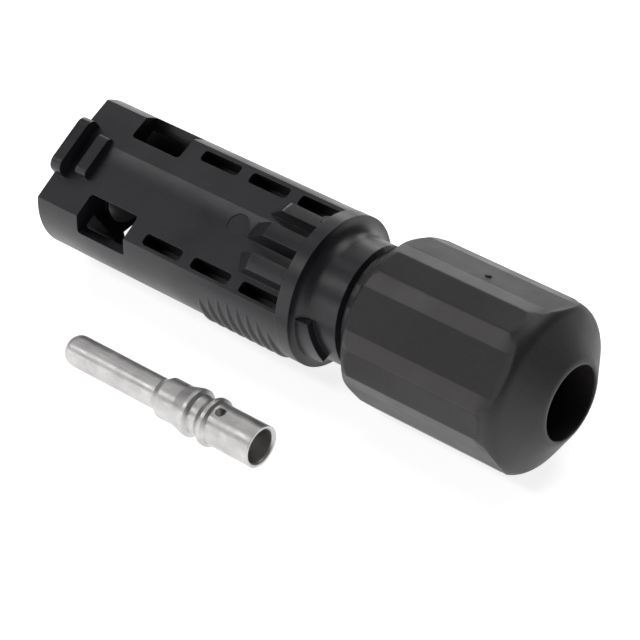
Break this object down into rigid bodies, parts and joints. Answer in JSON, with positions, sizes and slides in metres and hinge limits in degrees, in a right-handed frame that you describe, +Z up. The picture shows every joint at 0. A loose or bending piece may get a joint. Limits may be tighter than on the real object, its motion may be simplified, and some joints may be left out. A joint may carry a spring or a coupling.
{
  "type": "solar cable connector",
  "caption": "Round in-line solar cable plug with a flat latched facet, ribbed grips and a screwed cable gland, shown beside its loose machined crimp contact.",
  "frame": {"origin": "centre of the front mating rim, on the connector's axis", "axes": "+X along the connector towards the cable, +Z up as the plug lies on its round side, -Y towards the loose contact; the flat facet leans 31.8 degrees from +Z towards -Y"},
  "size_m": [0.0747, 0.0346, 0.0217],
  "materials": {
    "housing_plastic": "moulded, semi-matte bluish black",
    "nut_plastic": "moulded, fine matte texture, warm charcoal",
    "spring_steel": "rolled spring steel",
    "seal_rubber": "moulded silicone rubber",
    "tinned_copper": "turned and tin plated, satin"
  },
  "bodies": {
    "housing": {"plug_housing": "housing_plastic", "retention_clip": "spring_steel", "cable_seal": "seal_rubber"},
    "clamp": {"clamp_cage": "housing_plastic"},
    "nut": {"gland_nut": "nut_plastic"},
    "contact": {"crimp_contact": "tinned_copper"}
  },
  "joints": [
    {"name": "gland_travel", "type": "slide", "parent": "housing", "child": "clamp", "axis": [1, 0, 0], "range_m": [-0.00375, 0.0025]},
    {"name": "gland_spin", "type": "hinge", "parent": "clamp", "child": "nut", "pos_m": [0.06, 0, 0], "axis": [1, 0, 0], "range_deg": [-540, 360]},
    {"name": "contact_lift", "type": "slide", "parent": "housing", "child": "contact", "axis": [0, 0, 1], "range_m": [0, 0.03]}
  ],
  "couplings": [
    {"joint": "gland_travel", "follows": "gland_spin", "m_per_rad": 0.00039789}
  ]
}
